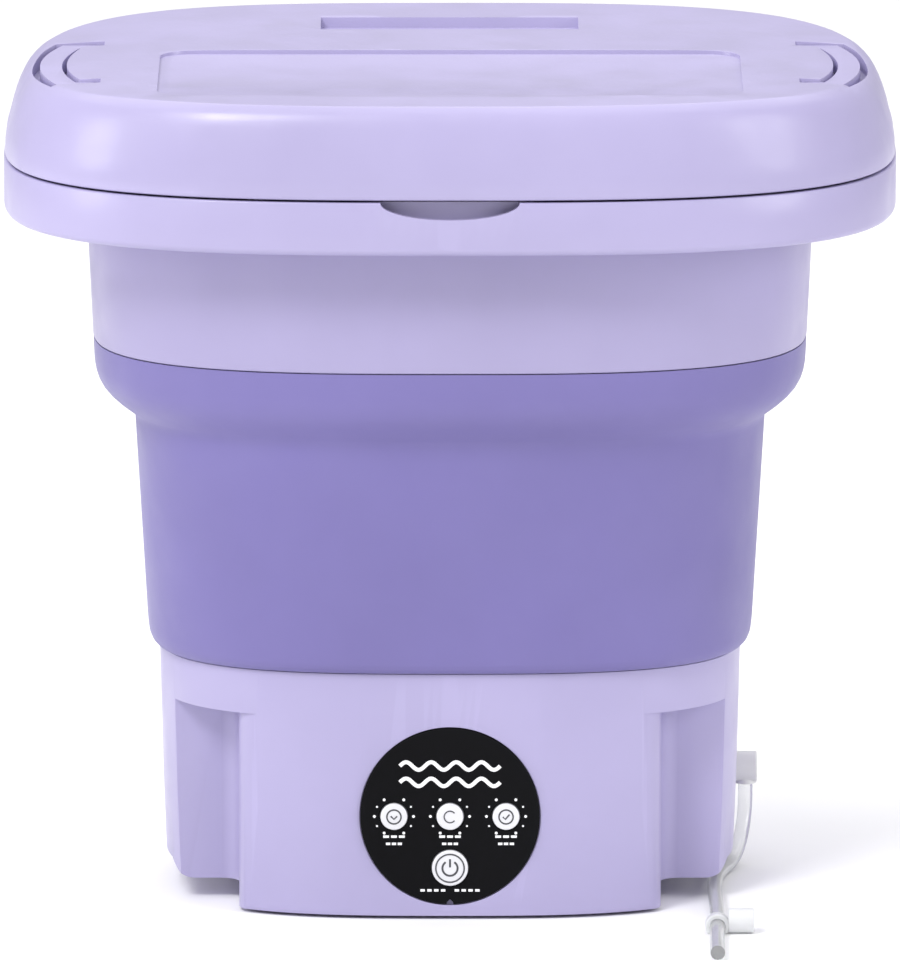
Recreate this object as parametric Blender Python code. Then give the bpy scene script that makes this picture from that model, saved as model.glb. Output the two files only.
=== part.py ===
"""A portable folding mini washer, as an assembly of separate pieces.

Metres, +Z up. The origin is on the floor under the middle of the tub, the front (with the round
control panel) faces -Y and the drain outlet is on the +X side. The tub stands unfolded: its upper
ring slides down over the base when the soft sleeve between them folds.
"""

import math

import bmesh
import bpy
from mathutils import Matrix, Vector

# ---------------------------------------------------------------- driving dimensions
RIM_HALF_WIDTH = 0.183
LID_HALF_WIDTH = 0.1827
DEPTH_RATIO = 0.79  # depth over width of the lid, tub and sleeve outlines
CORNER_POWER = 3.0  # superellipse power of those outlines
SEGMENTS = 48  # points round a large outline
GAP = 0.0003  # between pieces that touch

# levels, from the floor up
HOUSING_BOTTOM = 0.0015
WING_BOTTOM = 0.0085
NOTCH_TOP = 0.0835
BASE_TOP = 0.1019
SLEEVE_BOTTOM = BASE_TOP + GAP
SLEEVE_TOP = 0.2297
BAND_BOTTOM = SLEEVE_TOP + GAP
RIM_BOTTOM = 0.2833
BAND_TOP = RIM_BOTTOM - GAP
LIP_TOP = 0.3025
RIM_TOP = 0.3052
LID_BOTTOM = 0.3062
LID_TOP = 0.3433

# base housing
BASE_HALF_X = 0.1197
BASE_HALF_Y = 0.0943
WALL = 0.003
BLOCK_HALF_X = 0.0864  # the front block between the corner notches
WING_HALF_Y = 0.0503
NOTCH_FILLET = 0.008
BLOCK_CORNER = 0.012
FAR = 0.2  # past every outline, for cutters

# control panel, on the front face
PANEL_Z = 0.0430
PANEL_RADIUS = 0.0367
PANEL_FRONT = -0.0946
PANEL_BACK = -0.0928
POCKET_FLOOR = -0.0925
BUTTON_FRONT = -0.0957
BUTTON_FLANGE = -0.0902
BUTTONS = {  # name: (x, z, radius)
    "mode_button_left": (-0.0229, PANEL_Z, 0.0055),
    "mode_button_centre": (0.0, PANEL_Z, 0.0055),
    "mode_button_right": (0.0229, PANEL_Z, 0.0055),
    "power_button": (0.0, 0.0216, 0.0074),
}
BUTTON_CLEARANCE = 0.0004

# tub floor, drive and drain
PAN_BOTTOM = 0.0640
PAN_FLOOR = 0.0670
FLANGE_TOP = 0.0905  # the pan's flange, which the sleeve's collar sits on
COLLAR_BOTTOM = FLANGE_TOP + GAP
SHAFT_RADIUS = 0.0040
SHAFT_HOLE = SHAFT_RADIUS + GAP
MOTOR_RADIUS = 0.026
MOTOR_BOTTOM = 0.0095
MOTOR_TOP = 0.0455
BRACKET_TOP = 0.0483
PULSATOR_RADIUS = 0.060
SUMP = (0.0780, 0.0280)
OUTLET_Z = 0.0397
OUTLET_RADIUS = 0.0064
OUTLET_TIP = 0.1273
HOSE_X = 0.1225
HOSE_RADIUS = 0.0030

# lid handles
HANDLE_PIVOT_X = 0.146
HANDLE_PIVOT_Z = 0.3378
HANDLE_MIDDLE_Y = -0.014
HANDLE_GAP_IN = 0.0020  # between the bar and the lid inside it, so the bar can swing up
HANDLE_HALF_LENGTH = 0.052
HANDLE_ARM = 0.008
HANDLE_THICK = 0.006
HANDLE_ARC_CENTRE = 0.0030  # the bar's arcs are struck from this x
HANDLE_OUTER = 0.165
HANDLE_BAR = 0.009
PIN_RADIUS = 0.00125

INSET_HALF_X = 0.119  # the shallow panel in the middle of the lid
INSET_HALF_Y = 0.058
INSET_MIDDLE_Y = -0.048
INSET_CORNER = 0.014
INSET_DEPTH = 0.0016

CROWN = 0.0027  # the lid's top falls this far by CROWN_REACH
CROWN_REACH = 0.168
CROWN_POWER = 6
LID_DEPTH_GAIN = 0.018
LID_SHOULDER = 0.1678  # half width of the flat of the lid's top
LID_SIDE = (  # (half width, z) up the lid's side
    (0.1819, 0.3146),
    (0.1796, 0.3232),
    (0.1770, 0.3314),
    (0.1745, 0.3374),
    (0.1722, 0.3407),
    (0.1697, 0.3424),
)

LILAC = (0.42, 0.378, 0.63)
DEEP_LILAC = (0.24, 0.20, 0.50)


# ---------------------------------------------------------------- helpers
def material(name, colour, roughness, metallic=0.0):
    """A Principled material of that name, made once."""
    found = bpy.data.materials.get(name)
    if found:
        return found
    made = bpy.data.materials.new(name)
    made.use_nodes = True
    shader = made.node_tree.nodes["Principled BSDF"]
    shader.inputs["Base Color"].default_value = (*colour, 1.0)
    shader.inputs["Roughness"].default_value = roughness
    shader.inputs["Metallic"].default_value = metallic
    made.diffuse_color = (*colour, 1.0)
    return made


def lilac_plastic():
    return material("lilac_plastic", LILAC, 0.38)


def grey_plastic():
    return material("grey_plastic", (0.45, 0.45, 0.46), 0.4)


def black_plastic():
    return material("black_plastic", (0.01, 0.01, 0.012), 0.25)


def steel():
    return material("steel", (0.55, 0.55, 0.57), 0.3, 1.0)


def rubber():
    return material("grey_rubber", (0.12, 0.12, 0.13), 0.7)


def new_object(name, bm, finish, origin=(0.0, 0.0, 0.0)):
    """An object from world-space geometry, with its origin where it is asked for."""
    bmesh.ops.recalc_face_normals(bm, faces=bm.faces)
    bmesh.ops.translate(bm, verts=bm.verts, vec=-Vector(origin))
    mesh = bpy.data.meshes.new(name)
    bm.to_mesh(mesh)
    bm.free()
    mesh.shade_smooth()
    mesh.set_sharp_from_angle(angle=math.radians(35))
    obj = bpy.data.objects.new(name, mesh)
    bpy.context.scene.collection.objects.link(obj)
    obj.location = origin
    if finish:
        mesh.materials.append(finish)
    return obj


def helper(name, bm):
    """A cutter or an added body that a Boolean reads, and that isn't a piece itself."""
    obj = new_object(name, bm, None)
    obj.hide_render = True
    obj.display_type = "WIRE"
    return obj


def boolean(obj, other, operation):
    modifier = obj.modifiers.new(operation.lower() + "_" + other.name, "BOOLEAN")
    modifier.object = other
    modifier.operation = operation
    modifier.solver = "EXACT"


def cut(obj, other):
    boolean(obj, other, "DIFFERENCE")


def add(obj, other):
    boolean(obj, other, "UNION")


def outline(half_x, half_y, z, segments=SEGMENTS, power=CORNER_POWER):
    """Points of a superellipse at level z, evenly spaced in angle."""
    points = []
    for i in range(segments):
        angle = 2 * math.pi * i / segments
        c, s = math.cos(angle), math.sin(angle)
        reach = ((abs(c) / half_x) ** power + (abs(s) / half_y) ** power) ** (-1 / power)
        points.append(Vector((reach * c, reach * s, z)))
    return points


def ring(half_width, z, inset=0.0):
    """An outline of the tub's own proportions, moved in by an even inset."""
    return outline(half_width - inset, DEPTH_RATIO * half_width - inset, z)


def circle(radius, z, centre=(0.0, 0.0), segments=24):
    offset = Vector((centre[0], centre[1], 0.0))
    return [p + offset for p in outline(radius, radius, z, segments, power=2.0)]


def loft(bm, rings, closed=False):
    """Joins rings of equal length into a skin; it is capped unless the section is closed."""
    made = [[bm.verts.new(p) for p in points] for points in rings]
    count = len(made[0])
    following = made[1:] + made[:1] if closed else made[1:]
    for first, second in zip(made, following):
        for i in range(count):
            j = (i + 1) % count
            bm.faces.new((first[i], first[j], second[j], second[i]))
    if not closed:
        bm.faces.new(made[0])
        bm.faces.new(made[-1])


def lofted(rings, closed=False):
    bm = bmesh.new()
    loft(bm, rings, closed)
    return bm


def prism(bm, points, low, high):
    """A polygon of (x, y) points drawn up from low to high."""
    loft(bm, [[Vector((x, y, z)) for x, y in points] for z in (low, high)])


def box(bm, low, high):
    (x0, y0, z0), (x1, y1, z1) = low, high
    prism(bm, [(x0, y0), (x1, y0), (x1, y1), (x0, y1)], z0, z1)


def rod(bm, start, end, radius, segments=16):
    """A straight cylinder between two points."""
    start, end = Vector(start), Vector(end)
    along = end - start
    turn = along.to_track_quat("Z", "Y").to_matrix().to_4x4()
    bmesh.ops.create_cone(
        bm,
        cap_ends=True,
        segments=segments,
        radius1=radius,
        radius2=radius,
        depth=along.length,
        matrix=Matrix.Translation((start + end) / 2) @ turn,
    )


def rods(*items, segments=16):
    bm = bmesh.new()
    for start, end, radius in items:
        rod(bm, start, end, radius, segments)
    return bm


def arc(centre, radius, start, end, steps):
    """(x, y) points of an arc, angles in degrees."""
    angles = [math.radians(start + (end - start) * i / steps) for i in range(steps + 1)]
    return [(centre[0] + radius * math.cos(a), centre[1] + radius * math.sin(a)) for a in angles]


def smooth_route(points, steps):
    """A Catmull-Rom curve through the points, with that many steps between each pair."""
    points = [Vector(p) for p in points]
    padded = [2 * points[0] - points[1], *points, 2 * points[-1] - points[-2]]
    route = []
    for a, b, c, d in zip(padded, padded[1:], padded[2:], padded[3:]):
        for i in range(steps):
            t = i / steps
            route.append(
                0.5 * (2 * b + (c - a) * t + (2 * a - 5 * b + 4 * c - d) * t**2
                       + (3 * b - a - 3 * c + d) * t**3)
            )
    return [*route, points[-1]]


def cable(name, route, radius, finish, resolution=2):
    """A solid round cable along a route."""
    curve = bpy.data.curves.new(name, "CURVE")
    curve.dimensions = "3D"
    curve.bevel_depth = radius
    curve.bevel_resolution = resolution
    curve.use_fill_caps = True
    spline = curve.splines.new("POLY")
    spline.points.add(len(route) - 1)
    for point, place in zip(spline.points, route):
        point.co = (*place, 1.0)
    curve.materials.append(finish)
    obj = bpy.data.objects.new(name, curve)
    bpy.context.scene.collection.objects.link(obj)
    return obj


# ---------------------------------------------------------------- base
def corner_notch_points(grow):
    """One quadrant of the notch in plan: wall facing front, fillet, side wall, round block corner."""
    fillet = (BLOCK_HALF_X + NOTCH_FILLET, WING_HALF_Y + NOTCH_FILLET)
    corner = (BLOCK_HALF_X - BLOCK_CORNER, 0.0726)
    leave = 65.0  # where the round corner runs into the front face
    points = [(FAR, WING_HALF_Y - grow)]
    points += arc(fillet, NOTCH_FILLET + grow, 270, 180, 5)
    points += arc(corner, BLOCK_CORNER - grow, 0, leave, 5)
    away = math.radians(leave)
    points.append((corner[0] + FAR * math.cos(away), corner[1] + FAR * math.sin(away)))
    points.append((FAR + FAR * math.cos(away), corner[1] + FAR * math.sin(away)))
    return points


def notch_cutter(name, grow, top):
    """The four corner notches, one prism for each quadrant."""
    bm = bmesh.new()
    for sx in (-1, 1):
        for sy in (-1, 1):
            prism(bm, [(sx * x, sy * y) for x, y in corner_notch_points(grow)], -0.01, top)
    return helper(name, bm)


def wing_floor_cutter(name, grow):
    """Lifts the wings off the floor, with a chamfer along their outer lower edges."""
    chamfer_x = 0.1128
    level = WING_BOTTOM + grow
    section = [
        (BLOCK_HALF_X - grow, -0.01),
        (BLOCK_HALF_X - grow, level),
        (chamfer_x - grow, level),
        (chamfer_x - grow + 0.012, level + 0.012),
        (FAR, level + 0.012),
        (FAR, -0.01),
    ]
    bm = bmesh.new()
    for side in (-1, 1):
        loft(bm, [[Vector((side * x, y, z)) for x, z in section] for y in (-FAR, FAR)])
    return helper(name, bm)


def base_rings(inset, low, high):
    """The base outline from low to high, narrowing a little towards the floor."""
    levels = [(0.1140, 0.0015), (0.1165, 0.0045), (0.1182, 0.0450), (BASE_HALF_X, BASE_TOP)]
    rings = [outline(x - inset, BASE_HALF_Y - inset, z) for x, z in levels]
    for point in rings[0]:
        point.z = low
    for point in rings[-1]:
        point.z = high
    return rings


def base_housing():
    housing = new_object(
        "base_housing", lofted(base_rings(0.0, HOUSING_BOTTOM, BASE_TOP)), lilac_plastic()
    )
    cavity = helper("housing_cavity", lofted(base_rings(WALL, -0.01, BASE_TOP + 0.01)))
    cut(housing, notch_cutter("notches", 0.0, NOTCH_TOP))
    cut(housing, wing_floor_cutter("wing_floor", 0.0))
    cut(cavity, notch_cutter("notches_inside", WALL, NOTCH_TOP + WALL))
    cut(cavity, wing_floor_cutter("wing_floor_inside", WALL))
    cut(housing, cavity)
    add(housing, helper("screw_bosses", rods(*[
        ((x, y, 0.0058), (x, y, 0.030), 0.0048) for x, y in screw_places()])))
    board_posts = [
        ((x, -0.0925, z), (x, -0.0833, z), 0.0026) for x in (-0.030, 0.030) for z in (0.0155, 0.0540)
    ]
    add(housing, helper("board_posts", rods(*board_posts)))
    cut(housing, helper("screw_holes", rods(*[
        ((x, y, 0.0), (x, y, 0.020), 0.0018) for x, y in screw_places()])))
    pocket = ((0, -0.12, PANEL_Z), (0, POCKET_FLOOR, PANEL_Z), PANEL_RADIUS + 0.0004)
    bm = bmesh.new()
    rod(bm, *pocket, segments=48)
    cut(housing, helper("panel_pocket", bm))
    cut(housing, button_holes("button_holes_in_wall", -0.088))
    side_holes = rods(
        ((0.10, SUMP[1], OUTLET_Z), (0.13, SUMP[1], OUTLET_Z), OUTLET_RADIUS + GAP),
        ((0, 0.080, 0.030), (0, 0.11, 0.030), 0.0055),
    )
    cut(housing, helper("side_holes", side_holes))
    return housing


def screw_places():
    return [(sx * 0.0800, sy * 0.0580) for sx in (-1, 1) for sy in (-1, 1)]


def button_holes(name, back):
    return helper(name, rods(*[
        ((x, -0.12, z), (x, back, z), radius + BUTTON_CLEARANCE)
        for x, z, radius in BUTTONS.values()]))


def bottom_cover():
    inset = WALL + 0.0004
    rings = [outline(0.1150 - inset, BASE_HALF_Y - inset, z) for z in (0.0030, 0.0055)]
    cover = new_object("bottom_cover", lofted(rings), material("cover_plastic", (0.45, 0.40, 0.66), 0.5))
    cut(cover, notch_cutter("cover_notches", inset, 0.02))
    bm = bmesh.new()
    for side in (-1, 1):
        edge = BLOCK_HALF_X - inset
        box(bm, (min(side * edge, side * FAR), -FAR, -0.01), (max(side * edge, side * FAR), FAR, 0.02))
    for i in range(7):
        x = -0.024 + 0.008 * i
        box(bm, (x - 0.0015, -0.022, -0.01), (x + 0.0015, 0.022, 0.02))
    for x, y in screw_places():
        rod(bm, (x, y, -0.01), (x, y, 0.02), 0.0019)
    cut(cover, helper("cover_cuts", bm))
    return cover


def feet_and_screws():
    for i, (x, y) in enumerate((sx * 0.062, sy * 0.064) for sx in (-1, 1) for sy in (-1, 1)):
        section = ((0.0068, 0.0), (0.0080, 0.0008), (0.0080, 0.0027))
        bm = lofted([circle(r, z, (x, y), 24) for r, z in section])
        new_object(f"rubber_foot_{i + 1}", bm, rubber())
    for i, (x, y) in enumerate(screw_places()):
        section = ((0.0034, 0.0012), (0.0034, 0.0027), (0.0015, 0.0027), (0.0015, 0.0180))
        bm = lofted([circle(r, z, (x, y), 12) for r, z in section])
        new_object(f"cover_screw_{i + 1}", bm, steel())


# ---------------------------------------------------------------- drive
def tub_pan():
    """The hard tub floor, with the hub that carries the shaft's bearing and seal."""
    floor_x, floor_y = 0.0970, 0.0710  # the well, which clears the corner notches
    flange_x, flange_y = BASE_HALF_X - 0.0052, BASE_HALF_Y - 0.0052
    thick = 0.0025
    rings = [
        outline(floor_x - 0.0060, floor_y - 0.0060, PAN_BOTTOM),
        outline(floor_x - 0.0015, floor_y - 0.0015, 0.0670),
        outline(floor_x, floor_y, 0.0868),
        outline(flange_x, flange_y, 0.0880),
        outline(flange_x, flange_y, FLANGE_TOP),
        outline(floor_x - thick, floor_y - thick, 0.0893),
        outline(floor_x - 0.0040, floor_y - 0.0040, 0.0695),
        outline(floor_x - 0.0070, floor_y - 0.0070, PAN_FLOOR),
    ]
    pan = new_object("tub_pan", lofted(rings), material("pan_plastic", (0.70, 0.68, 0.80), 0.35))
    add(pan, helper("pan_hub", rods(((0, 0, 0.0520), (0, 0, 0.0655), 0.0155))))
    cut(pan, helper("pan_holes", rods(
        ((0, 0, 0.0542), (0, 0, 0.08), 0.0115),
        ((SUMP[0], SUMP[1], 0.05), (SUMP[0], SUMP[1], 0.08), 0.0055))))
    cut(pan, helper("pan_lip_hole", rods(((0, 0, 0.04), (0, 0, 0.06), 0.0085))))
    return pan


def turned_ring(name, inner, outer, low, high, finish, segments=24):
    section = ((outer, low), (outer, high), (inner, high), (inner, low))
    rings = [circle(r, z, segments=segments) for r, z in section]
    return new_object(name, lofted(rings, closed=True), finish)


def drive():
    metal = steel()
    motor = new_object("drive_motor", lofted([circle(r, z) for r, z in (
        (0.0220, MOTOR_BOTTOM), (MOTOR_RADIUS, MOTOR_BOTTOM + 0.003), (MOTOR_RADIUS, MOTOR_TOP - 0.003),
        (0.0235, MOTOR_TOP))]), metal)
    screw_x = 0.0165
    cut(motor, helper("motor_holes", rods(
        ((0, 0, 0.035), (0, 0, 0.06), SHAFT_HOLE),
        ((-screw_x, 0, 0.038), (-screw_x, 0, 0.06), 0.0018),
        ((screw_x, 0, 0.038), (screw_x, 0, 0.06), 0.0018))))

    bm = bmesh.new()
    corner = 0.008
    plate = []
    for sx, sy, start in ((1, 1, 0), (-1, 1, 90), (-1, -1, 180), (1, -1, 270)):
        plate += arc((sx * 0.037, sy * 0.024), corner, start, start + 90, 4)
    prism(bm, plate, MOTOR_TOP + GAP, BRACKET_TOP)
    bracket = new_object("motor_bracket", bm, metal)
    places = [(x, y) for x in (-0.037, 0.037) for y in (-0.024, 0.024)]
    add(bracket, helper("bracket_posts", rods(*[
        ((x, y, 0.0470), (x, y, PAN_BOTTOM - GAP), 0.004) for x, y in places])))
    cut(bracket, helper("bracket_holes", rods(
        ((0, 0, 0.04), (0, 0, 0.06), 0.006),
        ((-screw_x, 0, 0.04), (-screw_x, 0, 0.06), 0.0018),
        ((screw_x, 0, 0.04), (screw_x, 0, 0.06), 0.0018))))
    for side, name in ((-1, "motor_screw_left"), (1, "motor_screw_right")):
        head = BRACKET_TOP + GAP
        section = ((0.0015, 0.0400), (0.0015, head), (0.0030, head), (0.0030, 0.0506))
        new_object(name, lofted([circle(r, z, (side * screw_x, 0), 12) for r, z in section]), metal)

    turned_ring("shaft_bearing", SHAFT_HOLE, 0.0112, 0.0545, 0.0610, metal)
    turned_ring("shaft_seal", SHAFT_HOLE, 0.0112, 0.0613, 0.0668, rubber())

    shaft = new_object("drive_shaft", lofted([circle(SHAFT_RADIUS, z) for z in (0.0353, 0.0797)]), metal)
    cut(shaft, helper("shaft_thread", rods(((0, 0, 0.070), (0, 0, 0.09), 0.0023))))
    pulsator()
    head = ((0.0019, 0.0720), (0.0019, 0.0838), (0.0042, 0.0838), (0.0042, 0.0858), (0.0030, 0.0866))
    new_object("pulsator_screw", lofted([circle(r, z, segments=16) for r, z in head]), metal)


def pulsator():
    """The wash impeller: a low dome with four fins."""
    section = ((0.0570, 0.0680), (PULSATOR_RADIUS, 0.0700), (0.0585, 0.0722), (0.0420, 0.0752),
               (0.0200, 0.0795), (0.0140, 0.0850), (0.0080, 0.0862))
    disc = new_object("pulsator", lofted([circle(r, z, segments=48) for r, z in section]),
                      material("pulsator_plastic", (0.62, 0.58, 0.80), 0.3))
    bm = bmesh.new()
    for i in range(4):
        turn = Matrix.Rotation(math.pi / 4 + math.pi / 2 * i, 3, "Z")
        root, tip = 0.012, 0.054
        corners = ((root, -1, 0.0850), (tip, -1, 0.0795), (tip, 1, 0.0795), (root, 1, 0.0850))
        low = [turn @ Vector((x, 0.0035 * side, 0.0700)) for x, side, _ in corners]
        high = [turn @ Vector((x, 0.002 * side, z)) for x, side, z in corners]
        loft(bm, [low, high])
    add(disc, helper("pulsator_fins", bm))
    cut(disc, helper("pulsator_bore", rods(((0, 0, 0.06), (0, 0, 0.0800), SHAFT_HOLE))))
    cut(disc, helper("pulsator_screw_hole", rods(((0, 0, 0.07), (0, 0, 0.09), 0.0022))))
    cut(disc, helper("pulsator_counterbore", rods(((0, 0, 0.0835), (0, 0, 0.09), 0.0046))))


# ---------------------------------------------------------------- control panel and electrics
def control_panel():
    bm = bmesh.new()
    rod(bm, (0, PANEL_BACK, PANEL_Z), (0, PANEL_FRONT, PANEL_Z), PANEL_RADIUS, segments=48)
    panel = new_object("panel_disc", bm, black_plastic())
    cut(panel, button_holes("button_holes_in_panel", -0.088))
    bottom = PANEL_Z - PANEL_RADIUS
    bm = bmesh.new()
    half, low, high = 0.0013, bottom - 0.001, bottom + 0.001
    key = [(-half, low), (half, low), (half, high), (0, bottom + 0.0022), (-half, high)]
    loft(bm, [[Vector((x, y, z)) for x, z in key] for y in (-0.10, -0.08)])
    cut(panel, helper("panel_key", bm))

    for name, (x, z, radius) in BUTTONS.items():
        section = ((radius - 0.0005, BUTTON_FRONT), (radius, BUTTON_FRONT + 0.0005), (radius, BUTTON_FLANGE),
                   (radius + 0.0014, BUTTON_FLANGE), (radius + 0.0014, BUTTON_FLANGE + 0.001),
                   (0.002, BUTTON_FLANGE + 0.001), (0.002, -0.0883))
        rings = []
        for r, y in section:
            rings.append([Vector((x + p.x, y, z + p.y)) for p in circle(r, 0.0, segments=20)])
        new_object(name, lofted(rings), material("button_plastic", (0.75, 0.75, 0.76), 0.35),
                   origin=(x, BUTTON_FRONT, z))

    bm = bmesh.new()
    box(bm, (-0.034, -0.0830, 0.0100), (0.034, -0.0814, 0.0580))
    board = new_object("control_board", bm, material("circuit_board", (0.03, 0.16, 0.07), 0.4))
    bm = bmesh.new()
    for x, z, _ in BUTTONS.values():
        box(bm, (x - 0.003, -0.0862, z - 0.003), (x + 0.003, -0.0825, z + 0.003))
    add(board, helper("switch_bodies", bm))
    add(board, helper("switch_plungers", rods(*[
        ((x, -0.0872, z), (x, -0.085, z), 0.0016) for x, z, _ in BUTTONS.values()])))

    section = ((0.0075, 0.0960), (0.0075, 0.0946), (0.0052, 0.0946), (0.0052, 0.0820))
    rings = []
    for r, y in section:
        rings.append([Vector((p.x, y, 0.030 + p.y)) for p in circle(r, 0.0, segments=24)])
    inlet = new_object("power_inlet", lofted(rings), black_plastic())
    cut(inlet, helper("inlet_bore", rods(((0, 0.0845, 0.030), (0, 0.10, 0.030), 0.00275))))
    add(inlet, helper("inlet_pin", rods(((0, 0.0835, 0.030), (0, 0.0945, 0.030), 0.0009))))

    jacket = material("wire_jacket", (0.02, 0.02, 0.02), 0.5)
    motor_route = [(0.010, -0.0810, 0.0200), (0.010, -0.0740, 0.0195), (0.009, -0.0600, 0.0150),
                   (0.006, -0.0450, 0.0120), (0.002, -0.0350, 0.0135), (0.000, -0.0270, 0.0180)]
    cable("motor_lead", smooth_route(motor_route, 4), 0.0012, jacket)
    power_route = [(0.000, 0.0815, 0.0300), (-0.003, 0.0740, 0.0280), (-0.018, 0.0640, 0.0200),
                   (-0.040, 0.0480, 0.0140), (-0.050, 0.0200, 0.0120), (-0.050, -0.0150, 0.0120),
                   (-0.042, -0.0480, 0.0140), (-0.026, -0.0680, 0.0180), (-0.015, -0.0760, 0.0200),
                   (-0.012, -0.0810, 0.0200)]
    cable("power_lead", smooth_route(power_route, 4), 0.0012, jacket)


# ---------------------------------------------------------------- drain
HOSE_ROUTE = [  # straight down out of the outlet, round onto the floor and forward under the wing
    (0.12250, 0.02800, 0.03270), (0.12250, 0.02800, 0.02800), (0.12225, 0.02720, 0.02161),
    (0.12151, 0.02484, 0.01565), (0.12033, 0.02110, 0.01053), (0.11880, 0.01622, 0.00661),
    (0.11701, 0.01053, 0.00414), (0.11509, 0.00444, 0.00330), (0.11220, -0.00700, 0.00330),
    (0.11020, -0.02000, 0.00330), (0.10920, -0.03500, 0.00330), (0.10890, -0.05100, 0.00330),
    (0.10900, -0.06800, 0.00330), (0.10920, -0.08600, 0.00330), (0.10920, -0.10400, 0.00330),
    (0.10900, -0.12200, 0.00330), (0.10870, -0.14000, 0.00330), (0.10850, -0.15800, 0.00330),
    (0.10840, -0.17750, 0.00330),
]


def drain():
    bm = rods(((0.1078, SUMP[1], OUTLET_Z), (OUTLET_TIP, SUMP[1], OUTLET_Z), OUTLET_RADIUS))
    outlet = new_object("drain_outlet", bm, grey_plastic())
    add(outlet, helper("outlet_collar", rods(
        ((0.1095, SUMP[1], OUTLET_Z), (0.1115, SUMP[1], OUTLET_Z), 0.0088))))
    add(outlet, helper("outlet_boss", rods(
        ((HOSE_X, SUMP[1], OUTLET_Z), (HOSE_X, SUMP[1], 0.0330), 0.0044))))
    cut(outlet, helper("outlet_bore", rods(
        ((0.10, SUMP[1], OUTLET_Z), (0.1240, SUMP[1], OUTLET_Z), 0.0030))))
    cut(outlet, helper("outlet_drop", rods(((HOSE_X, SUMP[1], OUTLET_Z), (HOSE_X, SUMP[1], 0.02), 0.0022))))

    turn = 0.010
    corner = (SUMP[0] + turn, OUTLET_Z + turn)
    route = [(SUMP[0], 0.0637)]
    route += arc(corner, turn, 180, 270, 6)
    route.append((0.1075, OUTLET_Z))
    skins = []
    for radius in (0.0053, 0.0038):
        rings = []
        for i, (x, z) in enumerate(route):
            before, after = route[max(i - 1, 0)], route[min(i + 1, len(route) - 1)]
            along = Vector((after[0] - before[0], 0, after[1] - before[1])).normalized()
            across = Vector((-along.z, 0, along.x))
            centre = Vector((x, SUMP[1], z))
            rings.append([centre + radius * (math.cos(a) * across + math.sin(a) * Vector((0, 1, 0)))
                          for a in (math.pi * k / 8 for k in range(16))])
        skins.append(rings)
    new_object("drain_pipe", lofted(skins[0] + skins[1][::-1], closed=True), grey_plastic())

    section = ((0.0080, PAN_FLOOR + GAP), (0.0076, PAN_FLOOR + 0.0016), (0.0030, PAN_FLOOR + 0.0022))
    bm = lofted([circle(r, z, SUMP, 24) for r, z in section])
    strainer = new_object("drain_strainer", bm, grey_plastic())
    cut(strainer, helper("strainer_holes", rods(*[
        ((SUMP[0] + 0.0042 * math.cos(a), SUMP[1] + 0.0042 * math.sin(a), 0.06),
         (SUMP[0] + 0.0042 * math.cos(a), SUMP[1] + 0.0042 * math.sin(a), 0.08), 0.0012)
        for a in (math.pi / 3 * k for k in range(6))], segments=8)))

    clear = material("hose_vinyl", (0.80, 0.82, 0.82), 0.3)
    cable("drain_hose", smooth_route(HOSE_ROUTE, 1), HOSE_RADIUS, clear, resolution=2)
    hose_stopper(clear)


def hose_stopper(finish):
    """A stopper plug on a clip that snaps over the hose."""
    y = -0.1220
    x, z = 0.1090, 0.0033
    hold, plug = HOSE_RADIUS + GAP, 0.0050
    rings = []
    for r, yy in ((0.0050, y - 0.003), (0.0050, y + 0.003), (hold, y + 0.003), (hold, y - 0.003)):
        rings.append([Vector((x + p.x, yy, z + p.y)) for p in circle(r, 0.0, segments=24)])
    stopper = new_object("hose_stopper", lofted(rings, closed=True), finish)
    bm = bmesh.new()
    rod(bm, (0.1135, y, plug + 0.0003), (0.1240, y, plug + 0.0003), plug, segments=24)
    add(stopper, helper("stopper_plug", bm))
    bm = bmesh.new()
    box(bm, (0.1, y - 0.01, -0.01), (0.1134, y + 0.01, 0.0004))
    cut(stopper, helper("stopper_floor", bm))


# ---------------------------------------------------------------- folding tub
def folding_sleeve():
    """The soft wall between the base and the hard upper ring, drawn round its section."""
    skin = 0.0022
    outer = [
        ring(0.1465, SLEEVE_TOP), ring(0.1460, 0.2165), ring(0.1444, 0.2128), ring(0.1396, 0.2067),
        ring(0.1343, 0.2024), ring(0.1303, 0.1994), ring(0.1293, 0.1960), ring(0.1243, 0.1090),
        ring(0.1236, 0.1048), ring(0.1200, SLEEVE_BOTTOM),
    ]
    base_collar = [outline(BASE_HALF_X - i, BASE_HALF_Y - i, z) for i, z in (
        (0.0037, SLEEVE_BOTTOM), (0.0037, COLLAR_BOTTOM), (0.0056, COLLAR_BOTTOM), (0.0056, 0.1030))]
    inner = [
        ring(0.1240, 0.1080, skin), ring(0.1293, 0.1975, skin), ring(0.1343, 0.2040, 0.0016),
        ring(0.1396, 0.2083, 0.0016), ring(0.1442, 0.2140, 0.0018), ring(0.1462, 0.2260, skin),
        ring(0.1465, 0.2310, 0.0049), ring(0.1465, 0.2420, 0.0049), ring(0.1465, 0.2420, 0.0027),
        ring(0.1465, SLEEVE_TOP, 0.0027),
    ]
    return new_object("folding_sleeve", lofted(outer + base_collar + inner, closed=True),
                      material("sleeve_tpe", DEEP_LILAC, 0.5))


def tub_band():
    wall = 0.0025
    rings = [ring(0.1467, BAND_BOTTOM), ring(0.1492, BAND_TOP), ring(0.1492, BAND_TOP, wall),
             ring(0.1467, BAND_BOTTOM, wall)]
    return new_object("tub_band", lofted(rings, closed=True), lilac_plastic())


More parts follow.
